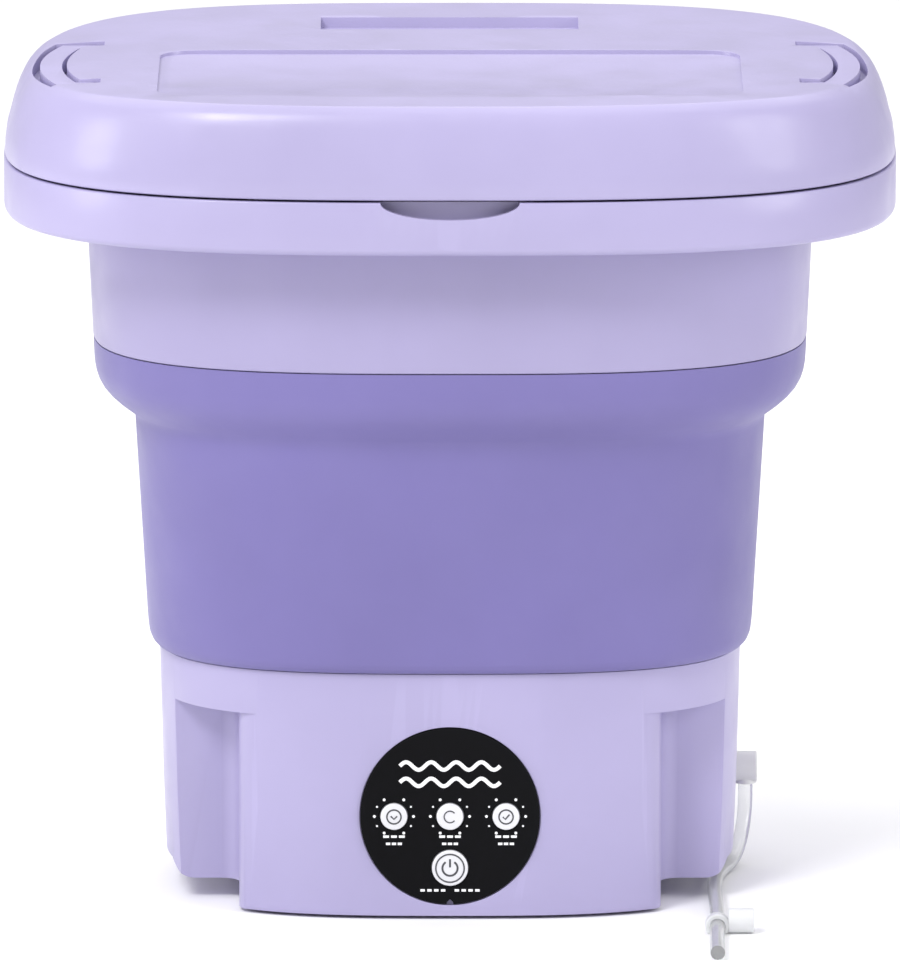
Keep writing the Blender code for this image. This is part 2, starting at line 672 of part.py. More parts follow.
def tub_rim():
    """The flat channel that carries the lid: an outer wall, a floor and the lip round the tub's mouth."""
    mouth = 0.1492
    floor = RIM_BOTTOM + 0.0025
    rings = [
        ring(RIM_HALF_WIDTH, RIM_TOP), ring(RIM_HALF_WIDTH, RIM_BOTTOM + 0.0028),
        ring(RIM_HALF_WIDTH, RIM_BOTTOM + 0.0011, 0.0008), ring(RIM_HALF_WIDTH, RIM_BOTTOM, 0.0027),
        ring(mouth, RIM_BOTTOM, 0.0027), ring(mouth, LIP_TOP, 0.0027), ring(mouth, LIP_TOP, 0.0002),
        ring(mouth, floor, 0.0002), ring(RIM_HALF_WIDTH, floor, 0.0038),
        ring(RIM_HALF_WIDTH, floor + 0.0013, 0.0025), ring(RIM_HALF_WIDTH, RIM_TOP, 0.0025),
    ]
    rim = new_object("tub_rim", lofted(rings, closed=True), lilac_plastic())
    bm = bmesh.new()
    half, depth = 0.0282, 0.0070
    angles = [math.radians(a) for a in range(180, 361, 12)]
    scoop = [(half * math.cos(a), RIM_TOP + depth * math.sin(a)) for a in angles]
    scoop += [(half, RIM_TOP + 0.005), (-half, RIM_TOP + 0.005)]
    loft(bm, [[Vector((x, y, z)) for x, z in scoop] for y in (-0.16, -0.135)])
    cut(rim, helper("finger_scoop", bm))
    return rim


# ---------------------------------------------------------------- lid
def handle_area(reach_out, reach_in, half, margin_steps=10):
    """Plan of the pad under a handle: an arc outside, a straight edge inside."""
    top = math.asin(half / reach_out)
    points = [(reach_in, -half)]
    for i in range(margin_steps + 1):
        a = -top + 2 * top * i / margin_steps
        points.append((HANDLE_ARC_CENTRE + reach_out * math.cos(a), reach_out * math.sin(a)))
    points.append((reach_in, half))
    return points


def bail_plan(outer, inner, outside, inside, arms_in, steps=10):
    """Plan of a U: a bar between two arcs, and two arms that run in to arms_in."""
    def edge(radius, half):
        top = math.asin(half / radius)
        angles = [-top + 2 * top * i / steps for i in range(steps + 1)]
        return [(HANDLE_ARC_CENTRE + radius * math.cos(a), radius * math.sin(a)) for a in angles]

    points = [(arms_in, -outside), *edge(outer, outside), (arms_in, outside), (arms_in, inside)]
    points += reversed(edge(inner, inside))
    points.append((arms_in, -inside))
    return points


def crown_drop(x):
    """How far the lid's top has fallen, from its middle to that distance along X."""
    return CROWN * (abs(x) / CROWN_REACH) ** CROWN_POWER


def lid_ring(half_width, z, inset=0.0):
    """An outline of the lid, a little deeper at the top, with the crown's fall worked in."""
    rise = (z - LID_BOTTOM) / (LID_TOP - LID_BOTTOM)
    ratio = DEPTH_RATIO + LID_DEPTH_GAIN * rise
    points = outline(half_width - inset, ratio * half_width - inset, z)
    share = min(1.0, max(0.0, 2.5 * rise - 1.5))
    for point in points:
        point.z -= share * crown_drop(point.x)
    return points


def lid_core(inset=0.0010):
    """The lid as a solid a little inside its skin, which trims the pads under the handles."""
    rings = [lid_ring(LID_HALF_WIDTH, LID_BOTTOM + inset, inset)]
    rings += [lid_ring(half, z - inset, inset) for half, z in LID_SIDE]
    rings.append(lid_ring(LID_SHOULDER, LID_TOP - inset, inset))
    rings += [lid_ring(half, LID_TOP - inset) for half in (0.1500, 0.1200, 0.0800, 0.0200)]
    return helper("lid_core", lofted(rings))


def lid_shell():
    roof = LID_TOP - 0.0030
    plateau = (0.0200, 0.0800, 0.1200, 0.1500)
    shell_rings = [lid_ring(half, roof) for half in plateau]
    shell_rings.append(lid_ring(LID_SHOULDER, roof, 0.0030))
    shell_rings += [lid_ring(half, z - 0.0022, 0.0028) for half, z in reversed(LID_SIDE[:5])]
    shell_rings.append(lid_ring(LID_HALF_WIDTH, LID_BOTTOM, 0.0025))
    shell_rings.append(lid_ring(LID_HALF_WIDTH, LID_BOTTOM))
    shell_rings += [lid_ring(half, z) for half, z in LID_SIDE]
    shell_rings.append(lid_ring(LID_SHOULDER, LID_TOP))
    shell_rings += [lid_ring(half, LID_TOP) for half in reversed(plateau)]
    shell = new_object("lid_shell", lofted(shell_rings), lilac_plastic())

    pads, pockets, holes, slot_pad, slot = (bmesh.new() for _ in range(5))
    pad = handle_area(HANDLE_OUTER + 0.0048, 0.1380, 0.0600)
    pocket = bail_plan(HANDLE_OUTER + 0.0032, HANDLE_OUTER - HANDLE_BAR - HANDLE_GAP_IN,
                       HANDLE_HALF_LENGTH + 0.0012, HANDLE_HALF_LENGTH - HANDLE_ARM - 0.0008,
                       HANDLE_PIVOT_X - 0.0036)
    pocket_floor = HANDLE_PIVOT_Z - HANDLE_THICK / 2 - 0.0005
    for side in (-1, 1):
        prism(pads, [(side * x, y + HANDLE_MIDDLE_Y) for x, y in pad], 0.3288, 0.36)
        prism(pockets, [(side * x, y + HANDLE_MIDDLE_Y) for x, y in pocket], pocket_floor, 0.37)
        for start, end in ((-0.0572, -0.0390), (0.0390, 0.0572)):
            rod(holes, (side * HANDLE_PIVOT_X, start + HANDLE_MIDDLE_Y, HANDLE_PIVOT_Z),
                (side * HANDLE_PIVOT_X, end + HANDLE_MIDDLE_Y, HANDLE_PIVOT_Z),
                PIN_RADIUS + 0.0002, segments=12)
    handle_pads = helper("handle_pads", pads)
    boolean(handle_pads, lid_core(), "INTERSECT")
    add(shell, handle_pads)
    box(slot_pad, (-0.0570, 0.0620, 0.3370), (0.0570, 0.1000, 0.3405))
    box(slot, (-0.0536, 0.0650, 0.3390), (0.0532, 0.0965, 0.36))
    add(shell, helper("slot_pad", slot_pad))
    cut(shell, helper("handle_pockets", pockets))
    cut(shell, helper("pin_holes", holes))
    cut(shell, helper("rear_slot", slot))
    inset = []
    for x, y, start in ((1, 1, 0), (-1, 1, 90), (-1, -1, 180), (1, -1, 270)):
        corner = (x * (INSET_HALF_X - INSET_CORNER), INSET_MIDDLE_Y + y * (INSET_HALF_Y - INSET_CORNER))
        inset += arc(corner, INSET_CORNER, start, start + 90, 6)
    bm = bmesh.new()
    prism(bm, inset, LID_TOP - INSET_DEPTH, 0.36)
    cut(shell, helper("lid_inset", bm))
    return shell


def on_pivot(side, y):
    """The point of a handle's axis at that distance from the handle's middle."""
    return Vector((side * HANDLE_PIVOT_X, HANDLE_MIDDLE_Y + y, HANDLE_PIVOT_Z))


def handle(side, name):
    inside = HANDLE_HALF_LENGTH - HANDLE_ARM
    plan = bail_plan(HANDLE_OUTER, HANDLE_OUTER - HANDLE_BAR, HANDLE_HALF_LENGTH, inside, HANDLE_PIVOT_X)
    low = HANDLE_PIVOT_Z - HANDLE_THICK / 2
    bm = bmesh.new()
    prism(bm, [(side * x, y + HANDLE_MIDDLE_Y) for x, y in plan], low, low + HANDLE_THICK)
    bail = new_object(f"{name}_handle", bm, material("handle_plastic", LILAC, 0.4), origin=on_pivot(side, 0))
    eyes = rods(*[
        (on_pivot(side, s * (inside + 0.00001)), on_pivot(side, s * (HANDLE_HALF_LENGTH - 0.00001)),
         HANDLE_THICK / 2) for s in (-1, 1)])
    add(bail, helper(f"{name}_handle_eyes", eyes))
    bore = PIN_RADIUS + 0.0002
    bores = rods(*[(on_pivot(side, s * 0.03), on_pivot(side, s * 0.06), bore) for s in (-1, 1)])
    cut(bail, helper(f"{name}_handle_bores", bores))


def lid_handles():
    for side, name in ((-1, "left"), (1, "right")):
        handle(side, name)
        for s, end in ((-1, "front"), (1, "rear")):
            bm = bmesh.new()
            rod(bm, on_pivot(side, s * 0.0394), on_pivot(side, s * 0.0568), PIN_RADIUS, segments=12)
            new_object(f"{name}_handle_pin_{end}", bm, steel())


def lid_lining():
    """The inner cover, with the ring that presses the seal on the tub's lip."""
    skirt = LID_BOTTOM + 0.0001
    rings = [ring(0.1735, 0.3262), ring(0.1735, 0.3242), ring(0.1510, 0.3242), ring(0.1506, skirt),
             ring(0.1506, skirt, 0.0080), ring(0.1510, 0.3235, 0.0080)]
    new_object("lid_inner_cover", lofted(rings), material("liner_plastic", (0.66, 0.63, 0.80), 0.4))
    top = skirt - GAP
    seal = [ring(0.1500, LIP_TOP + GAP), ring(0.1500, top), ring(0.1500, top, 0.0050),
            ring(0.1500, LIP_TOP + GAP, 0.0050)]
    new_object("lid_seal", lofted(seal, closed=True), rubber())


def main():
    for obj in list(bpy.data.objects):
        bpy.data.objects.remove(obj)
    base_housing()
    bottom_cover()
    feet_and_screws()
    tub_pan()
    drive()
    control_panel()
    drain()
    folding_sleeve()
    tub_band()
    tub_rim()
    lid_shell()
    lid_handles()
    lid_lining()


main()
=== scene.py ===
"""The looks of a portable folding mini washer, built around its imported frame.

Every piece is in the frame's own metres: +Z up, the control panel facing -Y, the drain on the +X side.
"""

import math

import bmesh
import bpy
from mathutils import Matrix, Vector


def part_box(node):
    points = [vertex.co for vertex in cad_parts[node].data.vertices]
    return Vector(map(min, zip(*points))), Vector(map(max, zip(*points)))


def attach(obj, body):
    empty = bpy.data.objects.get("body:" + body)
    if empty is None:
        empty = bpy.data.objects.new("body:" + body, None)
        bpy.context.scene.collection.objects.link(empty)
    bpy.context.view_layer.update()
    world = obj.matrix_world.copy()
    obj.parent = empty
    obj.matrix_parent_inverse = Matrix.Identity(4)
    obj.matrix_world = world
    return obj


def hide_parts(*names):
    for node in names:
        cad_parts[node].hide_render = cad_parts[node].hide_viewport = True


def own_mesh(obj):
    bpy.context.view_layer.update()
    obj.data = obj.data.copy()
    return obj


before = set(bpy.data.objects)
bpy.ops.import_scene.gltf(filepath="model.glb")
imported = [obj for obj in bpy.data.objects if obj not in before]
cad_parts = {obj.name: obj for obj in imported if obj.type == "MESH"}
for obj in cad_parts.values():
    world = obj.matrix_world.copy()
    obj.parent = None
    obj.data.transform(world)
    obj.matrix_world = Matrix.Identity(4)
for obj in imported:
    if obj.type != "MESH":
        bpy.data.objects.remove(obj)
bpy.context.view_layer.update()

# ---------------------------------------------------------------- shape values, in metres
DEPTH_RATIO = 0.79
CORNER_POWER = 3.0
FINE = 168  # points round a large outline
FAR = 0.2
RIM_HALF_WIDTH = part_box("tub_rim")[1].x
LID_HALF_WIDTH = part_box("lid_shell")[1].x
LID_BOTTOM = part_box("lid_shell")[0].z
LID_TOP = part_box("lid_shell")[1].z
RIM_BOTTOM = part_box("tub_rim")[0].z
RIM_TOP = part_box("tub_rim")[1].z
LIP_TOP = 0.3025
BAND_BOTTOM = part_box("tub_band")[0].z
BAND_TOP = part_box("tub_band")[1].z
SLEEVE_TOP = 0.2297
COLLAR_BOTTOM = 0.0908
SCOOP_HALF = 0.0282
SCOOP_DEPTH = 0.0070
SCOOP_BACK = -0.1378  # front of the wall behind the finger scoop
SCOOP_BACK_HALF = 0.034

BASE_HALF_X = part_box("base_housing")[1].x
BASE_HALF_Y = 0.0943
BASE_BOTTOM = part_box("base_housing")[0].z
BASE_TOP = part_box("base_housing")[1].z
WALL = 0.003
WING_BOTTOM = 0.0085
NOTCH_TOP = 0.0835
BLOCK_HALF_X = 0.0864
WING_HALF_Y = 0.0503
NOTCH_FILLET = 0.008
BLOCK_CORNER = 0.012
BLOCK_CORNER_Y = 0.0726
INLET_Z = 0.030
INLET_HOLE = 0.0055
OUTLET_DROP = 0.0088  # from the top of the outlet's box down to its middle
OUTLET_HOLE = 0.0067

PANEL_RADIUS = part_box("panel_disc")[1].x
PANEL_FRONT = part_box("panel_disc")[0].y
PANEL_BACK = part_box("panel_disc")[1].y
PANEL_Z = 0.0430
PRINT_DEPTH = 0.00012  # how far the printed marks stand off the panel
PRINT_SINK = 0.00005
BUTTON_FRONT = -0.0957
BUTTON_FLANGE = -0.0902
BUTTON_CLEARANCE = 0.0004
BUTTON_HOLE_BACK = -0.088
BUTTONS = {  # node: (x, z, radius, body)
    "mode_button_left": (-0.0229, PANEL_Z, 0.0055, "button_left"),
    "mode_button_centre": (0.0, PANEL_Z, 0.0055, "button_centre"),
    "mode_button_right": (0.0229, PANEL_Z, 0.0055, "button_right"),
    "power_button": (0.0, 0.0216, 0.0074, "button_power"),
}

HANDLE_PIVOT_X = 0.146
HANDLE_PIVOT_Z = 0.3378
HANDLE_MIDDLE_Y = -0.014
HANDLE_GAP_IN = 0.0020
HANDLE_HALF_LENGTH = 0.052
HANDLE_ARM = 0.008
HANDLE_THICK = 0.006
HANDLE_ARC_CENTRE = 0.0030
HANDLE_OUTER = 0.165
HANDLE_BAR = 0.009
PIN_HOLE = 0.00145

CROWN = 0.0027  # the lid's top falls this far by CROWN_REACH
CROWN_REACH = 0.168
CROWN_POWER = 6
LID_DEPTH_GAIN = 0.018
LID_SHOULDER = 0.1678  # half width of the flat of the lid's top
LID_SIDE = (  # (half width, z) up the lid's side
    (0.1824, 0.3108),
    (0.1819, 0.3146),
    (0.1808, 0.3185),
    (0.1796, 0.3232),
    (0.1783, 0.3274),
    (0.1770, 0.3314),
    (0.1758, 0.3346),
    (0.1745, 0.3374),
    (0.1731, 0.3395),
    (0.1715, 0.3413),
    (0.1697, 0.3424),
    (0.1687, 0.3430),
)
INSET_HALF_X = 0.119
INSET_HALF_Y = 0.058
INSET_MIDDLE_Y = -0.048
INSET_CORNER = 0.014
INSET_DEPTH = 0.0016

HOSE_RADIUS = 0.0030
HOSE_ROUTE = [  # straight down out of the outlet, round onto the floor and forward under the wing
    (0.12250, 0.02800, 0.03270), (0.12250, 0.02800, 0.02800), (0.12225, 0.02720, 0.02161),
    (0.12151, 0.02484, 0.01565), (0.12033, 0.02110, 0.01053), (0.11880, 0.01622, 0.00661),
    (0.11701, 0.01053, 0.00414), (0.11509, 0.00444, 0.00330), (0.11220, -0.00700, 0.00330),
    (0.11020, -0.02000, 0.00330), (0.10920, -0.03500, 0.00330), (0.10890, -0.05100, 0.00330),
    (0.10900, -0.06800, 0.00330), (0.10920, -0.08600, 0.00330), (0.10920, -0.10400, 0.00330),
    (0.10900, -0.12200, 0.00330), (0.10870, -0.14000, 0.00330), (0.10850, -0.15800, 0.00330),
    (0.10840, -0.17750, 0.00330),
]


# ---------------------------------------------------------------- mesh helpers
def outline(half_x, half_y, z, segments=FINE, power=CORNER_POWER):
    """Points of a superellipse at level z."""
    points = []
    for i in range(segments):
        angle = 2 * math.pi * i / segments
        c, s = math.cos(angle), math.sin(angle)
        reach = ((abs(c) / half_x) ** power + (abs(s) / half_y) ** power) ** (-1 / power)
        points.append(Vector((reach * c, reach * s, z)))
    return points


def ring(half_width, z, inset=0.0):
    return outline(half_width - inset, DEPTH_RATIO * half_width - inset, z)


def circle(radius, z, centre=(0.0, 0.0), segments=64):
    offset = Vector((centre[0], centre[1], 0.0))
    return [p + offset for p in outline(radius, radius, z, segments, power=2.0)]


def facing(radius, y, centre, segments=64):
    """A circle that faces along Y, about a centre given as (x, z)."""
    points = circle(radius, 0.0, segments=segments)
    return [Vector((centre[0] + p.x, y, centre[1] + p.y)) for p in points]


def loft(bm, rings, closed=False):
    made = [[bm.verts.new(p) for p in points] for points in rings]
    count = len(made[0])
    following = made[1:] + made[:1] if closed else made[1:]
    for first, second in zip(made, following):
        for i in range(count):
            j = (i + 1) % count
            bm.faces.new((first[i], first[j], second[j], second[i]))
    if not closed:
        bm.faces.new(made[0])
        bm.faces.new(made[-1])


def lofted(rings, closed=False):
    bm = bmesh.new()
    loft(bm, rings, closed)
    return bm


def prism(bm, points, low, high):
    loft(bm, [[Vector((x, y, z)) for x, y in points] for z in (low, high)])


def plate(bm, points, front, back):
    """A flat shape of (x, z) points, standing off the panel from back to front."""
    loft(bm, [[Vector((x, y, z)) for x, z in points] for y in (front, back)])


def box(bm, low, high):
    (x0, y0, z0), (x1, y1, z1) = low, high
    prism(bm, [(x0, y0), (x1, y0), (x1, y1), (x0, y1)], z0, z1)


def rod(bm, start, end, radius, segments=48):
    start, end = Vector(start), Vector(end)
    along = end - start
    turn = along.to_track_quat("Z", "Y").to_matrix().to_4x4()
    bmesh.ops.create_cone(
        bm, cap_ends=True, segments=segments, radius1=radius, radius2=radius, depth=along.length,
        matrix=Matrix.Translation((start + end) / 2) @ turn,
    )


def arc(centre, radius, start, end, steps):
    angles = [math.radians(start + (end - start) * i / steps) for i in range(steps + 1)]
    return [(centre[0] + radius * math.cos(a), centre[1] + radius * math.sin(a)) for a in angles]


def rounded_corner(low, high, radius, steps=5):
    """Insets and levels of a quarter round that runs from a side onto a top or bottom face."""
    turns = [math.pi / 2 * i / steps for i in range(steps + 1)]
    return [(radius * (1 - math.cos(t)), low + (high - low) * math.sin(t)) for t in turns]


def smooth_route(points, steps):
    points = [Vector(p) for p in points]
    padded = [2 * points[0] - points[1], *points, 2 * points[-1] - points[-2]]
    route = []
    for a, b, c, d in zip(padded, padded[1:], padded[2:], padded[3:]):
        for i in range(steps):
            t = i / steps
            route.append(
                0.5 * (2 * b + (c - a) * t + (2 * a - 5 * b + 4 * c - d) * t**2
                       + (3 * b - a - 3 * c + d) * t**3)
            )
    return [*route, points[-1]]


def piece(name, bm, finish, sharp=32):
    bmesh.ops.recalc_face_normals(bm, faces=bm.faces)
    mesh = bpy.data.meshes.new(name)
    bm.to_mesh(mesh)
    bm.free()
    mesh.shade_smooth()
    mesh.set_sharp_from_angle(angle=math.radians(sharp))
    obj = bpy.data.objects.new(name, mesh)
    bpy.context.scene.collection.objects.link(obj)
    if finish:
        mesh.materials.append(finish)
    return obj


def combine(obj, bm, operation="DIFFERENCE"):
    """Applies one Boolean with a throwaway body, so that no helper is left in the scene."""
    other = piece(obj.name + "_tool", bm, None)
    modifier = obj.modifiers.new("tool", "BOOLEAN")
    modifier.object = other
    modifier.operation = operation
    modifier.solver = "EXACT"
    bake_modifiers(obj)
    bpy.data.objects.remove(other)


def bake_modifiers(obj):
    graph = bpy.context.evaluated_depsgraph_get()
    baked = bpy.data.meshes.new_from_object(obj.evaluated_get(graph))
    obj.modifiers.clear()
    obj.data = baked


def soften(obj, width, segments=3, angle=38):
    """Rounds the moulded edges and smooths the rest."""
    modifier = obj.modifiers.new("edge_round", "BEVEL")
    modifier.width = width
    modifier.segments = segments
    modifier.limit_method = "ANGLE"
    modifier.angle_limit = math.radians(angle)
    modifier.miter_outer = "MITER_ARC"
    bake_modifiers(obj)
    obj.data.shade_smooth()
    obj.data.set_sharp_from_angle(angle=math.radians(42))


def settle(obj, body, slot, *nodes):
    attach(obj, body)
    if nodes:
        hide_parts(*nodes)
    return obj


# ---------------------------------------------------------------- materials
def noise(nodes, links, place, scale, detail=4.0):
    made = nodes.new("ShaderNodeTexNoise")
    made.inputs["Scale"].default_value = scale
    made.inputs["Detail"].default_value = detail
    links.new(place.outputs["Object"], made.inputs["Vector"])
    return made


def ramp(nodes, links, source, low, high, start=0.35, end=0.65):
    """Two colours, from one to the other as the source goes from start to end."""
    made = nodes.new("ShaderNodeValToRGB")
    made.color_ramp.elements[0].position = start
    made.color_ramp.elements[1].position = end
    made.color_ramp.elements[0].color = (*low, 1.0)
    made.color_ramp.elements[1].color = (*high, 1.0)
    links.new(source, made.inputs["Fac"])
    return made


def mottled_colour(nodes, links, place, colour, mottle):
    slow = noise(nodes, links, place, 9.0)
    dark = [c * (1 - mottle) for c in colour]
    light = [min(1.0, c * (1 + mottle)) for c in colour]
    return ramp(nodes, links, slow.outputs["Fac"], dark, light)


def worn_edges(nodes, links, colour, mottled, wear):
    """Mixes a paler colour in along the convex edges."""
    geometry = nodes.new("ShaderNodeNewGeometry")
    edges = ramp(nodes, links, geometry.outputs["Pointiness"], (0, 0, 0), (1, 1, 1), 0.51, 0.58)
    amount = nodes.new("ShaderNodeMath")
    amount.operation = "MULTIPLY"
    amount.inputs[1].default_value = wear
    links.new(edges.outputs["Color"], amount.inputs[0])
    worn = nodes.new("ShaderNodeMix")
    worn.data_type = "RGBA"
    worn.inputs["B"].default_value = (*[min(1.0, c * 1.25 + 0.06) for c in colour], 1.0)
    links.new(amount.outputs["Value"], worn.inputs["Factor"])
    links.new(mottled.outputs["Color"], worn.inputs["A"])
    return worn


def uneven_gloss(nodes, links, place, roughness, rough_spread):
    patchy = noise(nodes, links, place, 45.0)
    spread = nodes.new("ShaderNodeMapRange")
    spread.inputs["From Min"].default_value = 0.3
    spread.inputs["From Max"].default_value = 0.7
    spread.inputs["To Min"].default_value = max(0.02, roughness - rough_spread)
    spread.inputs["To Max"].default_value = roughness + rough_spread
    links.new(patchy.outputs["Fac"], spread.inputs["Value"])
    return spread


def fine_relief(nodes, links, place, grain, bump):
    fine = noise(nodes, links, place, grain, 2.0)
    relief = nodes.new("ShaderNodeBump")
    relief.inputs["Strength"].default_value = 0.35
    relief.inputs["Distance"].default_value = bump
    links.new(fine.outputs["Fac"], relief.inputs["Height"])
    return relief


def surface(name, colour, roughness, grain=1400.0, bump=0.00002, mottle=0.04, wear=0.12,
            rough_spread=0.08, metallic=0.0, sheen=0.0, transmission=0.0, coat=0.0, shine=0.5):
    """A moulded surface: slow colour mottling, fine grain, uneven gloss and paler worn edges."""
    made = bpy.data.materials.new(name)
    made.use_nodes = True
    nodes, links = made.node_tree.nodes, made.node_tree.links
    shader = nodes["Principled BSDF"]
    place = nodes.new("ShaderNodeTexCoord")

    mottled = mottled_colour(nodes, links, place, colour, mottle)
    worn = worn_edges(nodes, links, colour, mottled, wear)
    links.new(worn.outputs["Result"], shader.inputs["Base Color"])
    spread = uneven_gloss(nodes, links, place, roughness, rough_spread)
    links.new(spread.outputs["Result"], shader.inputs["Roughness"])
    relief = fine_relief(nodes, links, place, grain, bump)
    links.new(relief.outputs["Normal"], shader.inputs["Normal"])

    shader.inputs["Metallic"].default_value = metallic
    shader.inputs["Specular IOR Level"].default_value = shine
    shader.inputs["Sheen Weight"].default_value = sheen
    shader.inputs["Transmission Weight"].default_value = transmission
    shader.inputs["Coat Weight"].default_value = coat
    return made


LILAC = (0.382, 0.347, 0.558)
# The band is the same lilac plastic as the lid and rim; this darker copy is painted shade for where the
# band sits under the rim's overhang.
LILAC_SHADED_BAND = (0.338, 0.305, 0.502)
SLEEVE = (0.163, 0.138, 0.362)

lilac = surface("lilac_moulded", LILAC, 0.36, coat=0.05)
# The band's material: the lilac with painted shade darkened into its colour.
lilac_shaded_band = surface("lilac_band_painted_shade", LILAC_SHADED_BAND, 0.40)
lilac_grip = surface("lilac_grip_moulded", LILAC, 0.42, grain=1900.0)
cover_plastic = surface("cover_moulded", (0.45, 0.40, 0.66), 0.50)
soft_sleeve = surface("soft_sleeve", SLEEVE, 0.55, grain=1100.0, bump=0.00004, mottle=0.05, wear=0.06,
                      sheen=0.15)
pan_plastic = surface("pan_moulded", (0.70, 0.67, 0.82), 0.32)
impeller_plastic = surface("impeller_moulded", (0.62, 0.58, 0.82), 0.30)
liner_plastic = surface("liner_moulded", (0.66, 0.62, 0.82), 0.42)
panel_black = surface("panel_black", (0.006, 0.006, 0.007), 0.55, mottle=0.10, wear=0.0,
                      rough_spread=0.05, shine=0.05)
print_white = surface("panel_print", (0.86, 0.86, 0.88), 0.50, mottle=0.03)
print_dark = surface("button_print", (0.05, 0.05, 0.06), 0.50, mottle=0.03)
button_plastic = surface("button_moulded", (0.72, 0.72, 0.75), 0.34)
grey_plastic = surface("outlet_moulded", (0.68, 0.68, 0.68), 0.40)
rubber = surface("foot_rubber", (0.10, 0.10, 0.11), 0.72, grain=800.0, bump=0.00005)
steel = surface("turned_steel", (0.56, 0.56, 0.58), 0.30, metallic=1.0, mottle=0.02)
wire_jacket = surface("wire_jacket_black", (0.02, 0.02, 0.02), 0.50)
board_green = surface("board_coated", (0.03, 0.16, 0.07), 0.38)
hose_vinyl = surface("hose_clear_vinyl", (0.95, 0.96, 0.96), 0.16, transmission=0.85, mottle=0.02,
                     rough_spread=0.04)
stopper_plastic = surface("stopper_milky", (0.88, 0.89, 0.90), 0.35, transmission=0.35, mottle=0.02)


# ---------------------------------------------------------------- base
def notch_points(grow):
    """One quadrant of a corner notch in plan, grown by the wall where it shapes the inside."""
    fillet = (BLOCK_HALF_X + NOTCH_FILLET, WING_HALF_Y + NOTCH_FILLET)
    corner = (BLOCK_HALF_X - BLOCK_CORNER, BLOCK_CORNER_Y)
    leave = 65.0
    away = math.radians(leave)
    points = [(FAR, WING_HALF_Y - grow)]
    points += arc(fillet, NOTCH_FILLET + grow, 270, 180, 12)
    points += arc(corner, BLOCK_CORNER - grow, 0, leave, 12)
    points.append((corner[0] + FAR * math.cos(away), corner[1] + FAR * math.sin(away)))
    points.append((FAR + FAR * math.cos(away), corner[1] + FAR * math.sin(away)))
    return points


def notches(grow, top):
    bm = bmesh.new()
    for sx in (-1, 1):
        for sy in (-1, 1):
            prism(bm, [(sx * x, sy * y) for x, y in notch_points(grow)], -0.01, top)
    return bm


def wing_floors(grow):
    """Lifts the wings off the floor, with a round along their outer lower edges."""
    radius, edge = 0.010, 0.1148
    level = WING_BOTTOM + grow
    section = [(BLOCK_HALF_X - grow, -0.01), (BLOCK_HALF_X - grow, level)]
    section += arc((edge - radius - grow, level + radius), radius, 270, 340, 9)
    section += [(FAR, level + radius), (FAR, -0.01)]
    bm = bmesh.new()
    for side in (-1, 1):
        loft(bm, [[Vector((side * x, y, z)) for x, z in section] for y in (-FAR, FAR)])
    return bm


def base_rings(inset, low, high):
    levels = [(0.1140, 0.0015), (0.1158, 0.0028), (0.1166, 0.0050), (0.1182, 0.0450),
              (BASE_HALF_X, BASE_TOP)]
    rings = [outline(x - inset, BASE_HALF_Y - inset, z) for x, z in levels]
    for point in rings[0]:
        point.z = low
    for point in rings[-1]:
        point.z = high
    return rings


def base_housing():
    housing = piece("base_shell", lofted(base_rings(0.0, BASE_BOTTOM, BASE_TOP)), lilac)
    combine(housing, notches(0.0, NOTCH_TOP))
    combine(housing, wing_floors(0.0))
    bm = bmesh.new()
    rod(bm, (0, -0.12, PANEL_Z), (0, -0.0925, PANEL_Z), PANEL_RADIUS + 0.0004, 128)
    combine(housing, bm)
    soften(housing, 0.0009)

    cavity = piece("cavity_tool", lofted(base_rings(WALL, -0.01, BASE_TOP + 0.01)), None)
    combine(cavity, notches(WALL, NOTCH_TOP + WALL))
    combine(cavity, wing_floors(WALL))
    bm = bmesh.new()
    bm.from_mesh(cavity.data)
    bpy.data.objects.remove(cavity)
    combine(housing, bm)
    combine(housing, button_holes(BUTTON_HOLE_BACK))
    low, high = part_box("drain_outlet")
    middle = (low + high) / 2
    bm = bmesh.new()
    level = high.z - OUTLET_DROP
    rod(bm, (0.10, middle.y, level), (0.13, middle.y, level), OUTLET_HOLE)
    rod(bm, (0, 0.080, INLET_Z), (0, 0.11, INLET_Z), INLET_HOLE)
    combine(housing, bm)
    housing.data.set_sharp_from_angle(angle=math.radians(42))
    settle(housing, "base", "lilac_plastic", "base_housing")


def button_holes(back):
    bm = bmesh.new()
    for x, z, radius, _ in BUTTONS.values():
        rod(bm, (x, -0.12, z), (x, back, z), radius + BUTTON_CLEARANCE, 64)
    return bm


